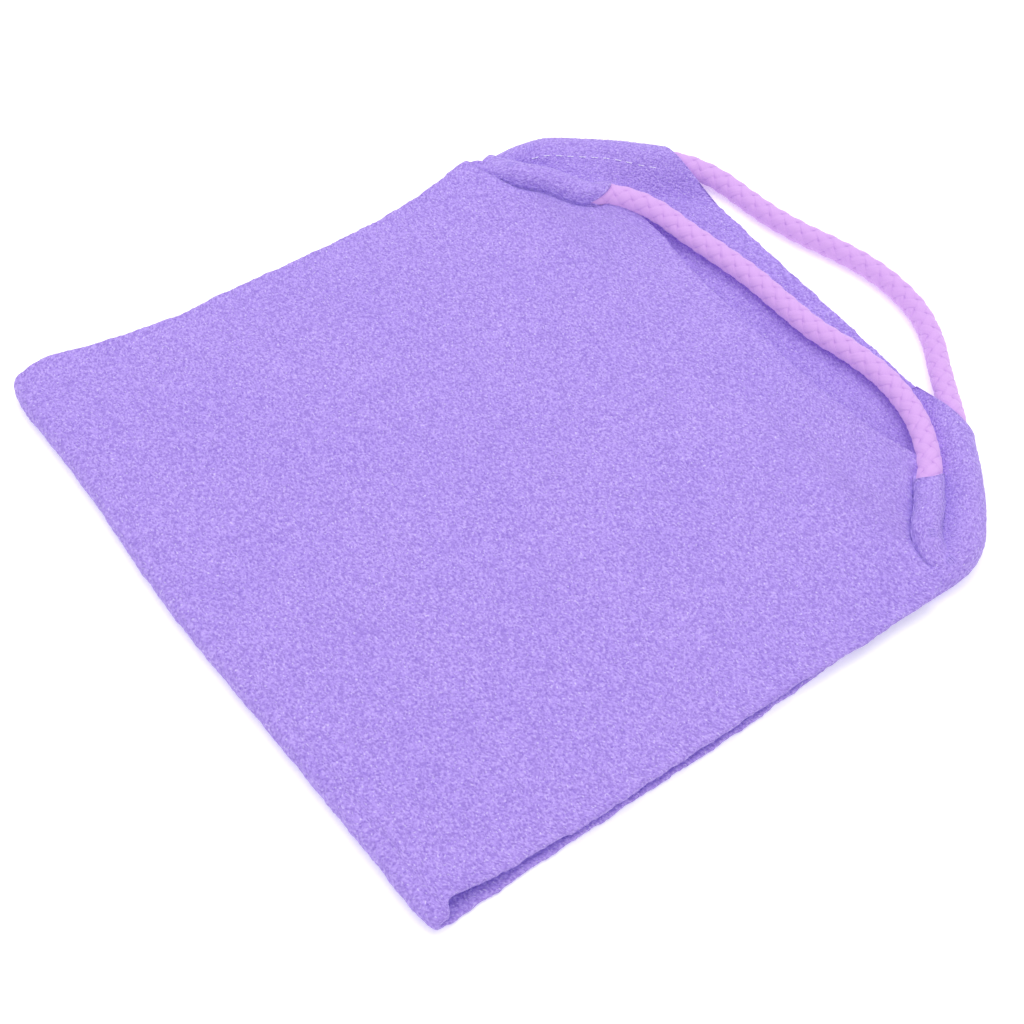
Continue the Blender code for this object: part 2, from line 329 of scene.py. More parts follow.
def crepe(x, y, seed):
    """Height from about -1 to 1 of the knit's pebbles at plan points: long grains, most along y."""
    places = np.stack([x, y], axis=-1) / PEBBLE_PITCH
    cells = np.floor(places).astype(np.int64)
    height = np.zeros(np.shape(x))
    for i in (-1, 0, 1):
        for j in (-1, 0, 1):
            cell = cells + (i, j)
            centre = np.stack([cell_random(cell, seed), cell_random(cell, seed + 1)], axis=-1)
            centre = cell + 0.15 + 0.7 * centre
            away = (places - centre) * PEBBLE_PITCH
            turn = (cell_random(cell, seed + 2) - 0.5) * 1.6
            across = away[..., 0] * np.cos(turn) - away[..., 1] * np.sin(turn)
            along = away[..., 0] * np.sin(turn) + away[..., 1] * np.cos(turn)
            size = 0.55 + 0.45 * cell_random(cell, seed + 3)
            bump = size * np.exp(-((across / GRAIN_WIDTH) ** 2 + (along / GRAIN_LENGTH) ** 2))
            height = np.maximum(height, bump)
    return 2 * height - 1


def waves(x, y):
    """Slow undulation of the cloth, from about -1 to 1."""
    return (
        0.45 * np.sin(0.051 * x + 0.023 * y + 0.7)
        + 0.35 * np.sin(0.083 * y - 0.031 * x + 2.1)
        + 0.20 * np.sin(0.147 * x + 0.117 * y + 4.0)
    )


def new_mesh(name, points, faces, material, attributes):
    """A smooth-shaded mesh object from plan points, with attributes on its vertices."""
    mesh = bpy.data.meshes.new(name)
    mesh.from_pydata(to_row(points), [], faces)
    for attribute, values in attributes.items():
        kind, field = ("FLOAT_VECTOR", "vector") if np.ndim(values) == 2 else ("FLOAT", "value")
        layer = mesh.attributes.new(attribute, kind, "POINT")
        layer.data.foreach_set(field, np.ravel(values).astype(np.float32))
    mesh.materials.append(material)
    mesh.shade_smooth()
    obj = bpy.data.objects.new(name, mesh)
    bpy.context.scene.collection.objects.link(obj)
    return obj


def grid_faces(index, closed=False):
    """Quads of a grid of vertex numbers; closed joins the last column to the first."""
    if closed:
        index = np.hstack([index, index[:, :1]])
    a, b, c, d = index[:-1, :-1], index[:-1, 1:], index[1:, 1:], index[1:, :-1]
    return np.stack([a, b, c, d], axis=-1).reshape(-1, 4)


def grid_normals(points):
    """Unit normals of a grid of points."""
    return unit(np.cross(np.gradient(points, axis=0), np.gradient(points, axis=1)))


def numbers(rows, columns, start=0):
    """Vertex numbers, from start, of a grid of points."""
    return start + np.arange(rows * columns).reshape(rows, columns)


# ---------------------------------------------------------------- materials

class Nodes:
    """A material's node tree, with short calls to add nodes and join them."""

    def __init__(self, name, roughness, sheen, sheen_tint):
        self.material = bpy.data.materials.new(name)
        self.material.use_nodes = True
        self.tree = self.material.node_tree
        self.shader = self.tree.nodes["Principled BSDF"]
        self.shader.inputs["Roughness"].default_value = roughness
        self.shader.inputs["Sheen Weight"].default_value = sheen
        self.shader.inputs["Sheen Roughness"].default_value = 0.5
        self.shader.inputs["Sheen Tint"].default_value = (*sheen_tint, 1)
        self.shader.inputs["Specular IOR Level"].default_value = 0.25

    def add(self, kind, inputs=None, **settings):
        node = self.tree.nodes.new(kind)
        for key, value in settings.items():
            setattr(node, key, value)
        for key, value in (inputs or {}).items():
            if isinstance(value, bpy.types.NodeSocket):
                self.tree.links.new(value, node.inputs[key])
            else:
                node.inputs[key].default_value = value
        return node

    def attribute(self, name, output="Vector"):
        return self.add("ShaderNodeAttribute", attribute_name=name).outputs[output]

    def vectors(self, operation, a, b):
        return self.add("ShaderNodeVectorMath", {0: a, 1: b}, operation=operation).outputs["Vector"]

    def scaled(self, vector, scale):
        return self.vectors("MULTIPLY", vector, scale)

    def added(self, height, texture, weight):
        """A height plus weight times how far a texture is from its middle, 0.5."""
        return self.maths("MULTIPLY_ADD", self.maths("SUBTRACT", texture, 0.5), weight, height)

    def noise(self, vector, scale, detail=2.0, roughness=0.5, output="Fac"):
        values = {"Vector": vector, "Scale": scale, "Detail": detail, "Roughness": roughness}
        return self.add("ShaderNodeTexNoise", values).outputs[output]

    def cells(self, vector, scale, smoothness):
        values = {"Vector": vector, "Scale": scale, "Smoothness": smoothness}
        return self.add("ShaderNodeTexVoronoi", values, feature="SMOOTH_F1").outputs["Distance"]

    def maths(self, operation, *values):
        return self.add("ShaderNodeMath", dict(enumerate(values)), operation=operation).outputs[0]

    def ramp(self, factor, stops):
        node = self.add("ShaderNodeValToRGB", {"Fac": factor})
        elements = node.color_ramp.elements
        while len(elements) < len(stops):
            elements.new(0.5)
        for element, (position, colour) in zip(elements, stops):
            element.position = position
            element.color = (*colour, 1)
        return node.outputs["Color"]

    def mixed(self, factor, a, b, blend="MIX"):
        node = self.add("ShaderNodeMix", {0: factor, 6: a, 7: b}, data_type="RGBA", blend_type=blend)
        return node.outputs[2]

    def bump(self, height, strength, distance):
        values = {"Height": height, "Strength": strength, "Distance": distance}
        return self.add("ShaderNodeBump", values).outputs["Normal"]

    def glow(self, colour, strength):
        """A little light of its own: painted light on the knit and the rope, and an even brightness that
        keeps the floor white.
        """
        self.shader.inputs["Emission Color"].default_value = (*colour, 1)
        self.shader.inputs["Emission Strength"].default_value = strength

    def finish(self, colour, normal):
        self.tree.links.new(colour, self.shader.inputs["Base Color"])
        self.tree.links.new(normal, self.shader.inputs["Normal"])
        return self.material


def knit_material():
    """Thick crepe knit: puckered grains under a millimetre apart, with painted shade in their valleys
    and painted light on their crests, painted shade in dark pits, painted highlights as pale specks, and
    a painted glow that keeps shaded parts blue.
    """
    n = Nodes("crepe_knit", 0.9, 0.25, (0.85, 0.80, 1.0))
    cloth = n.attribute("cloth")
    wobble = n.noise(cloth, 560.0, 1.0, output="Color")
    shift = n.scaled(n.vectors("SUBTRACT", wobble, (0.5, 0.5, 0.5)), (0.0006, 0.0006, 0.0006))
    bent = n.vectors("ADD", cloth, shift)
    grains = n.cells(n.scaled(bent, (1.0, 0.75, 1.0)), 1350.0, 0.35)
    fine = n.noise(n.scaled(bent, (1.0, 0.8, 1.0)), 2000.0, 1.0)
    medium = n.noise(cloth, 420.0, 2.0, 0.55)
    height = n.maths("MULTIPLY_ADD", grains, -0.75, 0.85)
    height = n.added(n.added(height, fine, 1.8), medium, 0.2)
    # Painted shade and light: the ramp darkens the grains' valleys and lightens their crests, with some
    # random tone from the noises.
    colour = n.ramp(height, ((0.12, KNIT_VALLEY_SHADE), (0.52, KNIT_MID), (0.98, KNIT_CREST_LIGHT)))
    # Painted highlights: pale specks scattered over the knit.
    speck_highlights = n.noise(n.scaled(cloth, (1.0, 0.5, 1.0)), 2300.0, 0.0)
    speck_highlights = n.maths("MULTIPLY", n.maths("GREATER_THAN", speck_highlights, 0.74), 0.35)
    colour = n.mixed(speck_highlights, colour, (*KNIT_SPECK_HIGHLIGHT, 1))
    # Painted shade: dark pits scattered over the knit.
    pit_shade = n.noise(n.scaled(cloth, (1.0, 0.8, 1.0)), 1500.0, 1.0)
    pit_shade = n.maths("MULTIPLY", n.maths("LESS_THAN", pit_shade, 0.36), 0.46)
    colour = n.mixed(pit_shade, colour, (*KNIT_PIT_SHADE, 1))
    patches = n.noise(cloth, 28.0, 3.0, 0.55)
    patches = n.ramp(patches, ((0.35, (0.955, 0.95, 0.985)), (0.65, WHITE)))
    colour = n.mixed(1.0, colour, patches, "MULTIPLY")
    # Painted light: a faint blue glow that lifts the knit's shaded parts.
    n.glow(KNIT_PAINTED_GLOW, 0.10)
    return n.finish(colour, n.bump(height, 0.55, 0.0006))


def rope_material():
    """Soft filament yarn: fine fibres along each strand, painted shade where strands dip, painted light
    on their crowns, and a painted glow that flattens the shading.
    """
    n = Nodes("rope_yarn", 0.62, 0.35, (1.0, 0.85, 1.0))
    strand = n.attribute("strand")
    depth = n.attribute("depth", "Fac")
    fibres = n.noise(n.scaled(strand, (0.12, 1.0, 1.0)), 2400.0, 2.0, 0.6)
    blotch = n.noise(strand, 420.0, 2.0)
    level = n.added(n.added(depth, fibres, 0.8), blotch, 0.45)
    # Painted shade where strands dip and painted light on their crowns, mixed with random fibre and
    # blotch tone.
    colour = n.ramp(level, ((0.15, ROPE_DIP_SHADE), (0.75, ROPE_LIGHT), (1.0, ROPE_CROWN_LIGHT)))
    # Painted light: a glow that lifts the rope's shaded sides.
    n.glow(ROPE_PAINTED_GLOW, 0.38)
    return n.finish(colour, n.bump(fibres, 0.5, 0.0003))


def thread_material(name, dark, light):
    """Twisted sewing thread with a slight gloss."""
    n = Nodes(name, 0.5, 0.2, (1.0, 0.95, 1.0))
    strand = n.attribute("strand")
    fibres = n.noise(n.scaled(strand, (0.2, 1.0, 1.0)), 6000.0, 1.0)
    return n.finish(n.ramp(fibres, ((0.3, dark), (0.7, light))), n.bump(fibres, 0.3, 0.00005))


def floor_material():
    """Matt white paper with a very faint tooth."""
    n = Nodes("white_floor", 0.8, 0.0, WHITE)
    place = n.add("ShaderNodeTexCoord").outputs["Object"]
    tooth = n.noise(place, 350.0, 2.0)
    n.glow(WHITE, 0.22)
    colour = n.ramp(tooth, ((0.3, (0.93, 0.93, 0.935)), (0.7, (0.95, 0.95, 0.95))))
    return n.finish(colour, n.bump(tooth, 0.05, 0.0001))


# ---------------------------------------------------------------- camera, light and floor

def make_camera():
    """The camera, from its aim, distance and angles."""
    azimuth, elevation, roll = map(math.radians, (CAMERA_AZIMUTH, CAMERA_ELEVATION, CAMERA_ROLL))
    back = Vector((
        -math.cos(elevation) * math.sin(azimuth),
        -math.cos(elevation) * math.cos(azimuth),
        math.sin(elevation),
    ))
    level = (-back).cross(Vector((0, 0, 1))).normalized()
    upright = level.cross(-back)
    right = math.cos(roll) * level + math.sin(roll) * upright
    up = -math.sin(roll) * level + math.cos(roll) * upright
    data = bpy.data.cameras.new("camera")
    data.lens = CAMERA_LENS
    data.clip_start = 0.01
    camera = bpy.data.objects.new("camera", data)
    bpy.context.scene.collection.objects.link(camera)
    place = Vector(to_row(CAMERA_AIM)) + back * CAMERA_DISTANCE * MM
    camera.matrix_world = Matrix.Translation(place) @ Matrix((right, up, back)).transposed().to_4x4()
    bpy.context.scene.camera = camera


def make_key_light():
    """A large square softbox that faces the middle of the strip."""
    data = bpy.data.lights.new("key", "AREA")
    data.size = KEY_SIZE
    data.energy = KEY_POWER
    data.color = KEY_COLOUR
    lamp = bpy.data.objects.new("key", data)
    lamp.location = KEY_PLACE
    lamp.rotation_euler = Vector(KEY_PLACE).to_track_quat("Z", "Y").to_euler()
    bpy.context.scene.collection.objects.link(lamp)


def make_studio():
    """White light from all round, the key light and a white floor."""
    scene = bpy.context.scene
    scene.view_settings.view_transform = "Standard"
    world = bpy.data.worlds.new("studio")
    world.use_nodes = True
    background = world.node_tree.nodes["Background"]
    background.inputs["Color"].default_value = (*WHITE, 1)
    background.inputs["Strength"].default_value = WORLD_STRENGTH
    scene.world = world
    make_key_light()
    half = FLOOR_HALF
    corners = [(-half, -half, 0), (half, -half, 0), (half, half, 0), (-half, half, 0)]
    mesh = bpy.data.meshes.new("floor")
    mesh.from_pydata(corners, [], [(0, 1, 2, 3)])
    mesh.materials.append(floor_material())
    floor = bpy.data.objects.new("floor", mesh)
    scene.collection.objects.link(floor)


# ---------------------------------------------------------------- ropes

def casing_line(half, side, step=0.5):
    """A casing's centreline in plan, with its height, from the outer end to the mouth."""
    points = [(*p, CASING_Z[half]) for p in CASING_POINTS[half, side]]
    return curve_through(points, step)


def pivot(half, side):
    """The point just outside a casing's mouth that a rope's line runs through."""
    line = casing_line(half, side)
    return line[-1] + unit(line[-1] - line[-4]) * PIVOT_OUT


def rope_line(half):
    """A rope's centreline from its tip in the left casing to its tip in the right one.  Inside a
    casing, whose line has a point each millimetre, every sixth one is taken."""
    inside = {}
    for side in SIDES:
        line = casing_line(half, side, 1.0)
        keep = int(min(ROPE_INSIDE[half], line_length(line) - ROPE_TIP_ROOM))
        inside[side] = line[-1 - keep::6]
    points = np.vstack([inside["left"], pivot(half, "left"), ROPE_POINTS[half], pivot(half, "right"),
                        inside["right"][::-1]])
    return curve_through(points, ROPE_STEP)


def carried_frames(line):
    """Two unit vectors across a line at each of its points, turning as little as they can."""
    tangents = unit(np.gradient(line, axis=0))
    across = np.cross(tangents[0], UPRIGHT)
    first = []
    for tangent in tangents:
        across = unit(across - tangent * (across @ tangent))
        first.append(across)
    first = np.array(first)
    return first, np.cross(tangents, first)


def rope_fullness(distance, length, mouths):
    """Share of the rope's full size along it: drawn in at the sealed tips, splayed at the mouths."""
    tips = ease(0, 3, distance) * ease(0, 3, length - distance)
    splay = sum(np.exp(-(((distance - mouth) / 4.0) ** 2)) for mouth in mouths)
    return (0.35 + 0.65 * tips) * (1 + 0.06 * splay)


def strand_section():
    """A strand's section, a rounded flat oval: offsets across it and up from its middle."""
    around = np.radians(np.arange(0, 360, 360 / STRAND_SIDES))
    across = STRAND_WIDTH / 2 * np.sign(np.cos(around)) * np.abs(np.cos(around)) ** 0.8
    lift = STRAND_THICKNESS / 2 * np.sign(np.sin(around)) * np.abs(np.sin(around)) ** 0.7
    return across, lift


def strand_rings(line, full, hand, i):
    """Rings of points of one strand, with their offsets across it and out from the rope's line.
    Strands of opposite hand cross over and under each other, and all draw in to a point at both ends."""
    distance = np.linspace(0, line_length(line), len(line))
    across, lift = strand_section()
    closed = np.ones(len(line))
    closed[[0, -1]] = 0.05
    turn = math.tau * (i / STRANDS + hand * distance / BRAID_LEAD)
    rise = STRAND_RADIUS + hand * STRAND_WEAVE * np.cos(math.tau * STRANDS * distance / BRAID_LEAD)
    across = across[None, :] * closed[:, None]
    radial = (rise[:, None] + lift[None, :] * closed[:, None]) * full[:, None]
    slope = math.atan(math.tau * STRAND_RADIUS / BRAID_LEAD)
    angle = turn[:, None] + across * math.cos(slope) / STRAND_RADIUS
    place = np.clip(distance[:, None] - hand * across * math.sin(slope), 0, distance[-1])
    centre, first, second = (
        np.stack([np.interp(place, distance, axis) for axis in table.T], axis=-1)
        for table in (line, *carried_frames(line))
    )
    outward = np.cos(angle)[..., None] * first + np.sin(angle)[..., None] * second
    return centre + radial[..., None] * outward, across, radial


def build_rope(half, material):
    """A braided rope: flat strands of four yarns that wind both ways and cross over and under."""
    line = rope_line(half)
    distance = np.linspace(0, line_length(line), len(line))
    ends = [casing_line(half, side)[-1] for side in SIDES]
    mouths = [distance[np.linalg.norm(line - end, axis=1).argmin()] for end in ends]
    full = rope_fullness(distance, distance[-1], mouths)
    points, faces, strand, depth = [], [], [], []
    for hand in (1, -1):
        for i in range(STRANDS):
            rings, across, radial = strand_rings(line, full, hand, i)
            index = numbers(*across.shape, sum(map(len, points)))
            points.append(rings.reshape(-1, 3))
            faces += grid_faces(index, closed=True).tolist()
            faces += [index[0, ::-1].tolist(), index[-1].tolist()]
            along = np.repeat(distance[:, None], STRAND_SIDES, axis=1)
            number = np.full(along.shape, 5.0 * (i + STRANDS * (hand > 0)))
            strand.append(np.stack([along, across, number], axis=-1).reshape(-1, 3) * MM)
            # Painted shade: depth is lower where a strand dips and along its sides, which darkens the
            # yarn there.
            edge = 1 - (np.abs(across) / (STRAND_WIDTH / 2)) ** 6
            depth.append(((radial / full[:, None] - 1.8) / 1.4 * (0.6 + 0.4 * edge)).ravel())
    attributes = {"strand": np.vstack(strand), "depth": np.concatenate(depth)}
    rope = new_mesh(f"{half}_braided_rope", np.vstack(points), faces, material, attributes)
    blend_rope(rope, half)
    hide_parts(f"{half}_rope", f"{half}_left_rope_end", f"{half}_right_rope_end")


def blend_rope(rope, half):
    """Bakes the rope's placement into its mesh; the two pivots that it works out are not used."""
    left, right = (Vector(to_row(pivot(half, side))) for side in SIDES)
    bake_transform(rope)


# ---------------------------------------------------------------- cloth strip

def side_shares(count, width):
    """Shares from 0 to 1 across the cloth, crowded at both edges for their round."""
    edge = EDGE_STEPS / width
    inner = np.linspace(EDGE_ZONE / width, 1 - EDGE_ZONE / width, count)
    return np.concatenate([edge, inner, 1 - edge[::-1]])


def fray(places, seed):
    """The small bumps of a cut knit edge at distances along it, none at its two ends."""
    from_ends = np.minimum(np.abs(places - places[0]), np.abs(places - places[-1]))
    slow = 0.5 * np.sin(0.41 * places + seed) + 0.4 * np.sin(0.77 * places + 2 * seed)
    return EDGE_FRAY * (crepe(places, np.zeros_like(places), seed) + slow) * ease(0, 6, from_ends)


def fold_bow(y):
    """How far the fold bows out at y."""
    line = curve_through(FOLD_BOW, 2.0)
    return np.interp(y, line[:, 0], line[:, 1])


def half_plan(half, along, across):
    """A grid of plan points over one half: a patch between its fold, its end edge and its sides.
    along and across are shares from 0 to 1, from the fold and from the right side."""
    left, right = (resampled(curve_through(SIDE_POINTS[half, side], 1.0), along) for side in SIDES)
    end = resampled(curve_through(END_POINTS[half], 1.0), across)
    seed = 200 + 10 * HALVES.index(half)
    left[:, 1] += fray(left[:, 0], seed)
    right[:, 1] -= fray(right[:, 0], seed + 1)
    end[:, 0] += fray(end[:, 1], seed + 2)
    fold_y = right[0, 1] + (left[0, 1] - right[0, 1]) * across
    fold = np.stack([ARC_X - fold_bow(fold_y) - 0.6 * fray(fold_y, 230), fold_y], axis=1)
    for side in (left, right):
        side[:, 0] -= fold_bow(side[:1, 1]) * (1 - ease(0, 12, side[:, 0]))
    u, v = along[:, None, None], across[None, :, None]
    corners = (1 - u) * ((1 - v) * right[0] + v * left[0]) + u * ((1 - v) * right[-1] + v * left[-1])
    return (1 - u) * fold[None] + u * end[None] + (1 - v) * right[:, None] + v * left[:, None] - corners


def from_casings(x, y):
    """How far plan points are from the nearest of the upper half's casing lines."""
    nearest = np.full(np.shape(x), 1e9)
    for side in SIDES:
        for point in casing_line("upper", side, 1.5):
            nearest = np.minimum(nearest, np.hypot(x - point[0], y - point[1]))
    return nearest


def upper_height(plan):
    """The upper layer's mid-surface: full over the fold, then close to the lower layer, lifted by
    the ropes' casings and curled down a little at its edges."""
    x, y = plan[..., 0], plan[..., 1]
    from_end = np.linalg.norm(plan - plan[-1:], axis=-1)
    from_right = np.linalg.norm(plan - plan[:, :1], axis=-1)
    from_left = np.linalg.norm(plan - plan[:, -1:], axis=-1)
    fold = (FOLD_HEIGHT - THICKNESS / 2 - UPPER_REST) * np.exp(-((np.maximum(x - ARC_X, 0) / 13.0) ** 2))
    off = from_casings(x, y)
    ridge = 1.5 * np.exp(-((off / 15.0) ** 2))
    groove = 0.9 * np.exp(-(((off - CASING_RADIUS["upper"] - 0.2) / 0.9) ** 2))
    inner = ease(0, 9, from_end) * ease(0, 9, from_right) * ease(0, 9, from_left)
    puff = (0.32 + 0.22 * waves(x, y)) * inner * ease(6, 30, x)
    pinch = 1.2 * np.exp(-((from_right / 2.5) ** 2)) * (1 - ease(4, 7, x))
    return UPPER_REST + fold + (ridge - groove) + puff - pinch


def lower_height(plan):
    """The lower layer's mid-surface: flat on the surface that the strip rests on."""
    return np.full(plan.shape[:2], LOWER_REST)


def build_strip(material):
    """The whole strip as one closed mesh, through the fold, with real pebbles on both faces."""
    across = side_shares(round(2 * HALF_WIDTH / GRID_STEP), 2 * HALF_WIDTH)
    sheets = {}
    for half, height in (("lower", lower_height), ("upper", upper_height)):
        length = HALF_END[half]
        rows = np.linspace(0, 1 - EDGE_ZONE / length, round(length / GRID_STEP))
        plan = half_plan(half, np.concatenate([rows, 1 - EDGE_STEPS[::-1] / length]), across)
        sheets[half] = np.concatenate([plan, height(plan)[..., None]], axis=-1)
    low, high = sheets["lower"][0], sheets["upper"][0]
    arc = []
    for turn in np.radians(np.linspace(-90, 90, ARC_ROWS + 2)[1:-1]):
        row = low + (high - low) * (1 + math.sin(turn)) / 2
        row[:, 0] -= ARC_RADIUS * math.cos(turn)
        arc.append(row)
    middle = np.concatenate([sheets["lower"][::-1], arc, sheets["upper"]])
    step = np.linalg.norm(np.diff(middle, axis=0), axis=-1)
    walked = np.concatenate([np.zeros((1, step.shape[1])), np.cumsum(step, axis=0)])
    walked -= walked[len(sheets["lower"]) + ARC_ROWS // 2]
    return close_sheet("knit_strip", middle, walked, material)


def close_sheet(name, middle, walked, material):
    """A closed mesh round a grid of mid-surface points, with round edges and pebbled faces.  Both
    faces share the grid's outermost points.  walked is each point's distance from the fold."""
    normals = grid_normals(middle)
    rows, columns = middle.shape[:2]
    from_side = np.minimum(
        np.linalg.norm(middle - middle[:, :1], axis=-1),
        np.linalg.norm(middle - middle[:, -1:], axis=-1),
    )
    from_end = np.minimum(
        np.linalg.norm(middle - middle[:1], axis=-1),
        np.linalg.norm(middle - middle[-1:], axis=-1),
    )
    inset = np.clip(np.minimum(from_side, from_end) / EDGE_ROUND, 0, 1)
    half_thick = THICKNESS / 2 * np.sqrt(1 - (1 - inset) ** 2)
    faces_of = {}
    for face, seed in ((1, 11), (-1, 47)):
        pebbles = crepe(walked, middle[..., 1], seed) * PEBBLE_HEIGHT
        offset = face * (half_thick + pebbles * inset - 0.05)
        faces_of[face] = (middle + normals * offset[..., None], offset)
    up = int(np.sign(normals[-rows // 4, columns // 2, 2]))
    outer, inner = faces_of[up], faces_of[-up]
    index = numbers(rows, columns)
    under = index.copy()
    under[1:-1, 1:-1] = numbers(rows - 2, columns - 2, index.size)
    points = np.vstack([outer[0].reshape(-1, 3), inner[0][1:-1, 1:-1].reshape(-1, 3)])
    coords = [np.stack([walked, middle[..., 1], side[1]], axis=-1) for side in (outer, inner)]
    cloth = np.vstack([coords[0].reshape(-1, 3), coords[1][1:-1, 1:-1].reshape(-1, 3)]) * MM
    top, bottom = grid_faces(index), grid_faces(under)
    top, bottom = (top, bottom[:, ::-1]) if up > 0 else (top[:, ::-1], bottom)
    return new_mesh(name, points, np.vstack([top, bottom]), material, {"cloth": cloth})


# ---------------------------------------------------------------- casings

def casing_frame(half, side, step=CASING_STEP):
    """A casing's line, with its direction, the direction outboard of it and the distance from its
    outer end at each point."""
    line = casing_line(half, side, step)
    tangents = unit(np.gradient(line, axis=0))
    turn = 1 if side == "left" else -1
    outboard = turn * np.cross(UPRIGHT, tangents)
    distance = np.linspace(0, line_length(line), len(line))
    return line, tangents, outboard, distance


def casing_contour(half, side, distance, degrees, radius):
    """Outboard and upward offsets of a casing's skin at a distance from the outer end: a round tube,
    with a skirt on the lower half's inboard side, flattened towards the outer end."""
    angle = np.radians(degrees)
    cos, sin = np.cos(angle), np.sin(angle)
    out, up = radius * cos, radius * sin
    if half == "lower":
        change = ease(*SKIRT_CHANGE[side], distance)
        reach = SKIRT_REACH[side][0] + (SKIRT_REACH[side][1] - SKIRT_REACH[side][0]) * change
        reach *= (0.2 + 0.8 * ease(0, 24, distance)) * (radius / CASING_RADIUS[half]) ** 2
        base = SKIRT_BASE[0] + (SKIRT_BASE[1] - SKIRT_BASE[0]) * change - CASING_Z[half]
        inboard = np.maximum(0, -cos)
        out = out - reach * inboard ** 3
        share = np.clip(-out / (radius + reach), 0, 1)
        skirt_top = base + (radius - base) * (0.5 + 0.5 * np.cos(math.pi * share))
        skirt_low = -radius + (base + radius) * share ** 3
        skirt = np.where(sin >= 0, skirt_top, skirt_low)
        up = up + (skirt - up) * ease(0.0, 0.35, inboard)
    flat = FLAT_SHARE[half, side]
    height = flat + (1 - flat) * ease(-3, 16, distance)
    return out, (up + CASING_RADIUS[half]) * height - CASING_RADIUS[half]


def mouth_lean(half, side, line, tangents, outboard, degrees, out, up):
    """How far each point of the mouth's ring lies past the line's end, along the casing.  A lower
    mouth is cut in line with the strip's end edge, its top set back; an upper one is nearly square."""
    angle = np.radians(degrees)
    if half == "lower":
        back = MOUTH_SET_BACK * (0.5 + 0.5 * up / CASING_RADIUS[half])
        across = HALF_END[half] - line[-1, 0] - out * outboard[-1, 0] - back
        return np.clip(across / tangents[-1, 0], -6, 15)
    wide, high = MOUTH_LEAN[side]
    return wide * np.cos(angle) + high * np.maximum(0, np.sin(angle)) + 0.2 * np.sin(3 * angle)


def build_casing(half, side, material):
    """A rolled hem: a knit sleeve with a soft round mouth, flattened where it meets the side.  Its
    rings run along the outside, round the mouth's lip, back along the bore and round the outer end."""
    line, tangents, outboard, distance = casing_frame(half, side)
    radius = CASING_RADIUS[half]
    degrees = np.arange(0, 360, 360 / CASING_AROUND)
    seed = 100 + 10 * HALVES.index(half) + 5 * SIDES.index(side)
    rings, cloth = [], []

    def ring(i, ring_radius, shift, pebbles, depth):
        """Adds a ring at the line's point i, shifted along it; depth is its cloth coordinate."""
        out, up = casing_contour(half, side, distance[i], degrees, ring_radius)
        lean = mouth_lean(half, side, line, tangents, outboard, degrees, out, up)
        moved = shift + lean * ease(distance[-1] - MOUTH_ZONE, distance[-1], distance[i])
        step = np.hypot(np.diff(out, prepend=out[-1:]), np.diff(up, prepend=up[-1:]))
        around = np.cumsum(step) * radius / ring_radius
        if pebbles:
            scale = 1 + crepe(around, distance[i] + moved, seed) * PEBBLE_HEIGHT / radius
            out, up = out * scale, up * scale
        place = line[i] + tangents[i] * moved[:, None]
        rings.append(place + outboard[i] * out[:, None] + UPRIGHT * up[:, None])
        cloth.append(np.stack([around, distance[i] + moved, np.full(degrees.shape, depth)], axis=-1))

    last = len(line) - 1
    for i in range(len(line)):
        ring(i, radius, 0.0, True, 0.0)
    wall = (radius - CASING_BORE) / 2
    for share in (0.0, 0.18, 0.5, 0.82, 1.0):
        turn = math.pi * share
        ring(last, radius - wall * (1 - math.cos(turn)), wall * math.sin(turn), False, share)
    for i in range(last - 1, 0, -3):
        ring(i, CASING_BORE, 0.0, False, 2.0)
    ring(0, CASING_BORE * 0.35, 0.0, False, 2.0)
    ring(0, radius * 0.6, -0.6, False, 1.0)
    ring(0, radius * 0.9, -0.45, False, 0.5)
    points = np.array(rings)
    index = numbers(*points.shape[:2])
    index = np.vstack([index, index[:1]])
    faces = grid_faces(index, closed=True)
    if side == "left":
        faces = faces[:, ::-1]
    coords = np.array(cloth).reshape(-1, 3)
    coords[:, 0] += 500 * (1 + HALVES.index(half)) + 90 * SIDES.index(side)
    casing = new_mesh(f"{half}_{side}_rolled_casing", points.reshape(-1, 3), faces, material,
                      {"cloth": coords * MM})
    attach(casing, f"{half}_half")
    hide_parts(f"{half}_{side}_casing")
    return casing


# ---------------------------------------------------------------- threads

def tube(line, radius):
    """Rings of points round a line, with their strand coordinates."""
    first, second = carried_frames(line)
    angle = np.linspace(0, math.tau, PLY_SIDES, endpoint=False)
    ring = np.cos(angle)[None, :, None] * first[:, None] + np.sin(angle)[None, :, None] * second[:, None]
    along = np.repeat(distances(line)[:, None], PLY_SIDES, axis=1)
    around = np.repeat(angle[None] * 0.3, len(line), axis=0)
    return line[:, None] + radius * ring, np.stack([along, around, np.zeros_like(along)], axis=-1)


def thread_object(name, lines, radius, material):
    """Two-ply twisted thread along each of several lines, as one object."""
    points, faces, strand, start = [], [], [], 0
    for line in lines:
        line = curve_through(line, 0.22)
        first, second = carried_frames(line)
        walked = np.linspace(0, line_length(line), len(line))
        for ply in (0, math.pi):
            angle = math.tau * walked / THREAD_TWIST + ply
            offset = np.cos(angle)[:, None] * first + np.sin(angle)[:, None] * second
            rings, coords = tube(line + offset * radius * 0.48, radius * 0.55)
            index = numbers(len(line), PLY_SIDES, start)
            start += index.size
            points.append(rings.reshape(-1, 3))
            strand.append(coords.reshape(-1, 3) * MM)
            faces += grid_faces(index, closed=True).tolist()
            faces += [index[0, ::-1].tolist(), index[-1].tolist()]
    return new_mesh(name, np.vstack(points), faces, material, {"strand": np.vstack(strand)})


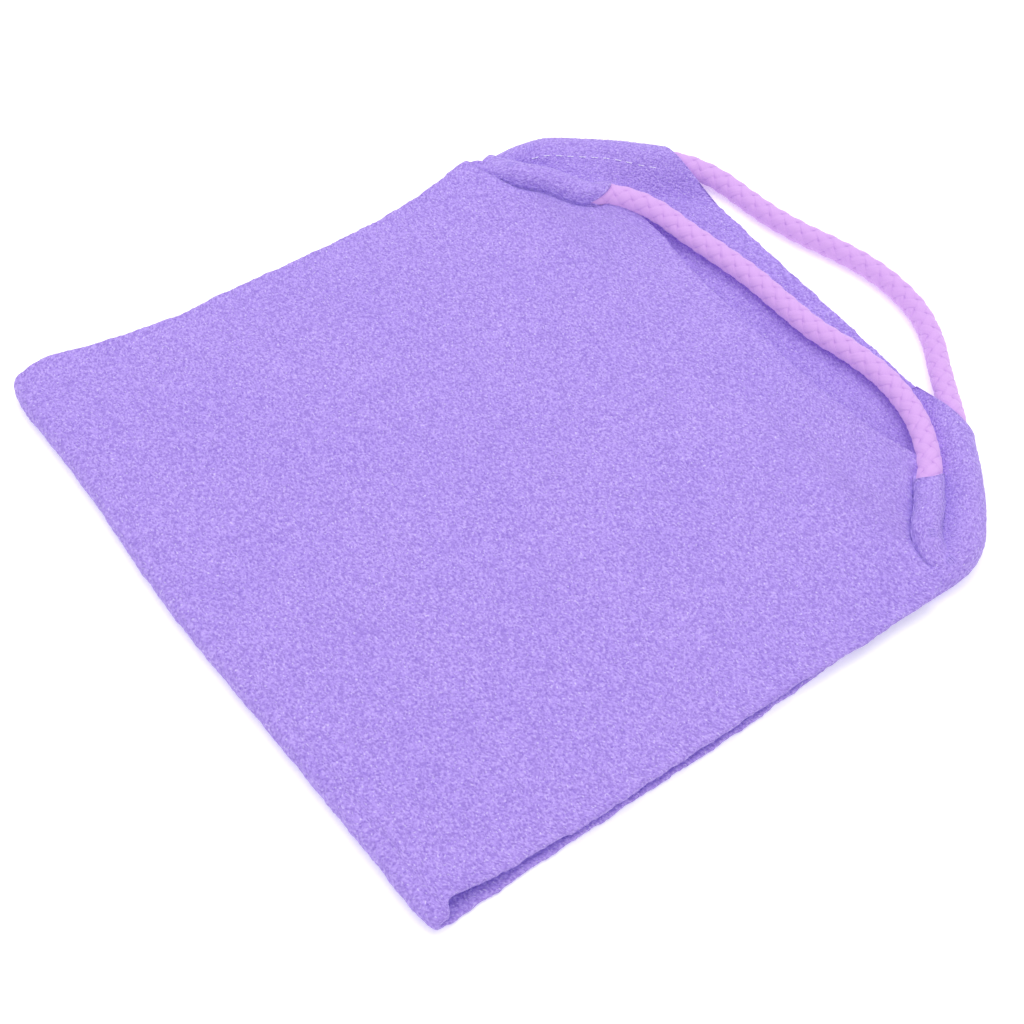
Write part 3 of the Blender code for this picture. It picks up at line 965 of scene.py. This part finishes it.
def on_casing(half, side, distance, degrees, lift):
    """A point on a casing's skin, raised along the section's radius."""
    line, _, outboard, walked = casing_frame(half, side, 0.25)
    i = int(np.abs(walked - distance).argmin())
    contour = casing_contour(half, side, walked[i], np.array([float(degrees)]), CASING_RADIUS[half])
    out, up = (float(part[0]) for part in contour)
    scale = 1 + lift / math.hypot(out, up)
    return line[i] + outboard[i] * (out * scale) + UPRIGHT * (up * scale)


def build_seam(half, side, material):
    """Lock stitches along the hem: each lies on the cloth and dips into it at both ends."""
    length = line_length(casing_line(half, side))
    lines = []
    for k in range(int((length - SEAM_SPARE) / STITCH_PITCH) + 1):
        start = SEAM_START + k * STITCH_PITCH
        line = []
        for share in np.linspace(0, 1, 7):
            lift = 0.16 - 1.1 * abs(2 * share - 1) ** 4
            place = start + share * STITCH_LENGTH
            line.append(on_casing(half, side, place, SEAM_ANGLE[half, side], lift))
        lines.append(line)
    seam = thread_object(f"{half}_{side}_stitches", lines, SEAM_THREAD_RADIUS, material)
    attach(seam, f"{half}_half")
    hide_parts(f"{half}_{side}_seam")


def build_tack(half, side, material):
    """The bar tack over the rope's end: close passes of thread part of the way round the sleeve."""
    angles = np.linspace(*TACK_ANGLES, 10)
    lifts = 0.08 - 0.9 * np.abs(np.linspace(-1, 1, 10)) ** 4
    lines = []
    for k in range(TACK_PASSES):
        place = TACK_START + TACK_PITCH * k
        lines.append([on_casing(half, side, place, angle, lift) for angle, lift in zip(angles, lifts)])
    tack = thread_object(f"{half}_{side}_bar_tack", lines, TACK_THREAD_RADIUS, material)
    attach(tack, f"{half}_half")
    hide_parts(f"{half}_{side}_tack")


# ---------------------------------------------------------------- everything

make_camera()
make_studio()

yarn = rope_material()
for half in HALVES:
    build_rope(half, yarn)

knit = knit_material()
strip = build_strip(knit)
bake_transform(strip)
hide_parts("lower_cloth", "upper_cloth", "fold_bend")

casings = [build_casing(half, side, knit) for half in HALVES for side in SIDES]
bright_thread = thread_material("bright_thread", *BRIGHT_THREAD)
toned_thread = thread_material("toned_thread", *TONED_THREAD)
for half in HALVES:
    for side in SIDES:
        build_seam(half, side, bright_thread if (half, side) == ("lower", "left") else toned_thread)
        build_tack(half, side, toned_thread)

bpy.context.view_layer.update()
